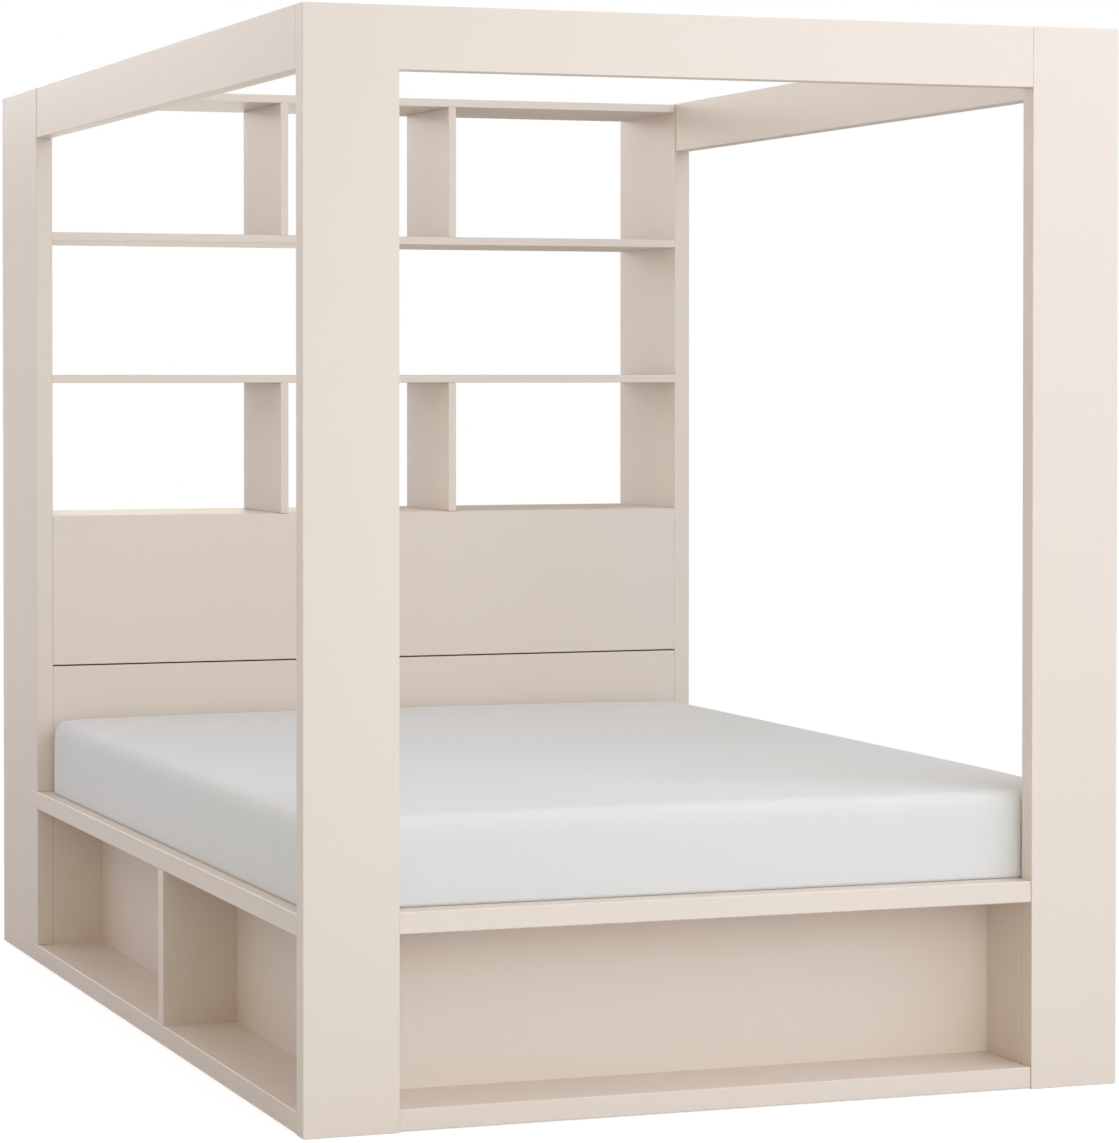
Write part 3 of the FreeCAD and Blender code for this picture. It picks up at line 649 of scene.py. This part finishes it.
def make_paper():
    material = bpy.data.materials.new("white_paper")
    material.use_nodes = True
    tree = material.node_tree
    tree.nodes.clear()
    pale = add(tree, "ShaderNodeBsdfDiffuse", Color=FLOOR_PALE).outputs["BSDF"]
    shade = add(tree, "ShaderNodeBsdfDiffuse", Color=PAPER_SHADE).outputs["BSDF"]
    glow = add(tree, "ShaderNodeEmission", Strength=PAPER_GLOW).outputs["Emission"]
    white = add(tree, "ShaderNodeEmission", Strength=1.0).outputs["Emission"]
    lit = add(tree, "ShaderNodeAddShader")
    tree.links.new(shade, lit.inputs[0])
    tree.links.new(glow, lit.inputs[1])
    distance = add(tree, "ShaderNodeVectorMath", {"operation": "LENGTH"}, Vector=object_place(tree))
    fade = add(
        tree, "ShaderNodeMapRange", {"interpolation_type": "SMOOTHSTEP"},
        Value=distance.outputs["Value"], From_Min=FADE_START, From_Max=FADE_END,
    ).outputs["Result"]
    seen = mix_shaders(tree, fade, lit.outputs["Shader"], white)
    surface = mix_shaders(tree, camera_ray(tree), pale, seen)
    tree.links.new(surface, add(tree, "ShaderNodeOutputMaterial").inputs["Surface"])
    return material


def make_floor():
    plane = bmesh.new()
    bmesh.ops.create_grid(plane, x_segments=1, y_segments=1, size=FLOOR_SIZE / 2)
    mesh = bpy.data.meshes.new("studio_floor")
    plane.to_mesh(mesh)
    plane.free()
    mesh.materials.append(make_paper())
    floor = bpy.data.objects.new("studio_floor", mesh)
    scene.collection.objects.link(floor)
    return floor


make_floor()
print("floor:", FLOOR_SIZE, "m wide")

# %% [markdown]
# ## Light
#
# Much of the light comes from the room itself, which is a warm white. The camera meets a plain white
# there instead, and the Standard view shows that white as it is.

# %% Room
ROOM_GLOW = 0.50
ROOM_TINT = (1.0, 0.90, 0.73, 1.0)
PAPER_WHITE = (1.0, 1.0, 1.0, 1.0)


def light_room():
    world = bpy.data.worlds.new("white_studio")
    world.use_nodes = True
    tree = world.node_tree
    tree.nodes.clear()
    room = add(tree, "ShaderNodeBackground", Color=ROOM_TINT, Strength=ROOM_GLOW)
    white = add(tree, "ShaderNodeBackground", Color=PAPER_WHITE, Strength=1.0)
    surface = mix_shaders(
        tree, camera_ray(tree), room.outputs["Background"], white.outputs["Background"]
    )
    tree.links.new(surface, add(tree, "ShaderNodeOutputWorld").inputs["Surface"])
    scene.world = world


light_room()
scene.view_settings.view_transform = "Standard"
print("room:", scene.world.name)

# %% [markdown]
# Large soft boxes, most of them cooler, add light from the front and the right, so that the faces of the
# posts are the brightest, from above for the mattress, and from behind, where it falls through the open
# shelves. Three small boxes stand near: one low at the foot for the niche, one at the right post and one
# at the left side. The last box is far behind and to the left, where its reflection runs along the edges
# of the side boards.

# %% Soft boxes
def soft_box(name, place, target, power, size, tint=(1.0, 1.0, 1.0)):
    """A square area light that faces a point and doesn't show in the picture."""
    lamp = bpy.data.lights.new(name, "AREA")
    lamp.shape = "SQUARE"
    lamp.size = size
    lamp.energy = power
    lamp.color = tint
    light = bpy.data.objects.new(name, lamp)
    light.location = place
    light.rotation_euler = (Vector(target) - Vector(place)).to_track_quat("-Z", "Y").to_euler()
    light.visible_camera = False
    scene.collection.objects.link(light)


soft_box(
    "front_upper_box", place=(-0.5, -7.5, 3.8), target=(0.0, 0.0, 1.4),
    power=109.0, size=5.0, tint=(0.765, 0.965, 1.0),
)
soft_box(
    "front_low_box", place=(0.2, -4.0, 0.9), target=(0.2, -1.0, 0.2),
    power=20.5, size=2.0, tint=(1.0, 0.97, 0.955),
)
soft_box(
    "right_box", place=(4.5, -6.0, 3.5), target=(0.0, 0.0, 0.8),
    power=131.0, size=6.0, tint=(0.43, 0.635, 1.0),
)
soft_box(
    "right_near_box", place=(1.6, -2.8, 3.4), target=(0.2, -1.0, 0.6),
    power=28.0, size=2.0, tint=(0.95, 0.94, 1.0),
)
soft_box(
    "right_side_box", place=(7.0, 0.5, 2.6), target=(0.0, 0.0, 1.0),
    power=40.0, size=6.0,
)
soft_box(
    "left_near_box", place=(-3.2, -0.6, 2.2), target=(-0.8, 0.2, 0.4),
    power=16.0, size=2.0, tint=(0.945, 1.0, 0.90),
)
soft_box(
    "top_box", place=(0.0, -0.3, 6.5), target=(0.0, -0.3, 0.0),
    power=92.0, size=5.0, tint=(0.705, 0.81, 1.0),
)
soft_box(
    "back_box", place=(0.0, 7.5, 1.8), target=(0.0, 0.0, 1.0),
    power=99.0, size=4.0, tint=(0.985, 1.0, 0.87),
)
soft_box(
    "back_left_box", place=(-5.5, 5.0, 3.0), target=(0.0, 0.0, 1.2),
    power=116.0, size=6.0, tint=(0.445, 0.545, 1.0),
)
soft_box(
    "edge_box", place=(-1.4, 7.2, 3.3), target=(-0.8, 0.0, 0.4),
    power=50.0, size=2.0,
)

# %% [markdown]
# ## Camera
#
# The picture was taken with a long lens from the left of the foot, a little below the canopy. Its upright
# lines stay almost upright, which a camera does when it is held nearly level and its lens is shifted down.

# %% Camera
SENSOR_WIDTH = 36.0
FOCAL_LENGTH = 120.332
SHIFT_ACROSS = 0.05047
SHIFT_UP = -0.12
CAMERA_PLACE = (-2.6057, -7.4047, 1.2985)
CAMERA_TILT = math.radians(89.09)
CAMERA_TURN = math.radians(-19.448)

camera_data = bpy.data.cameras.new("studio_camera")
camera_data.sensor_width = SENSOR_WIDTH
camera_data.lens = FOCAL_LENGTH
camera_data.shift_x = SHIFT_ACROSS
camera_data.shift_y = SHIFT_UP
camera = bpy.data.objects.new("studio_camera", camera_data)
camera.location = CAMERA_PLACE
camera.rotation_euler = (CAMERA_TILT, 0.0, CAMERA_TURN)
scene.collection.objects.link(camera)
scene.camera = camera
print("camera:", FOCAL_LENGTH, "mm lens at", CAMERA_PLACE)
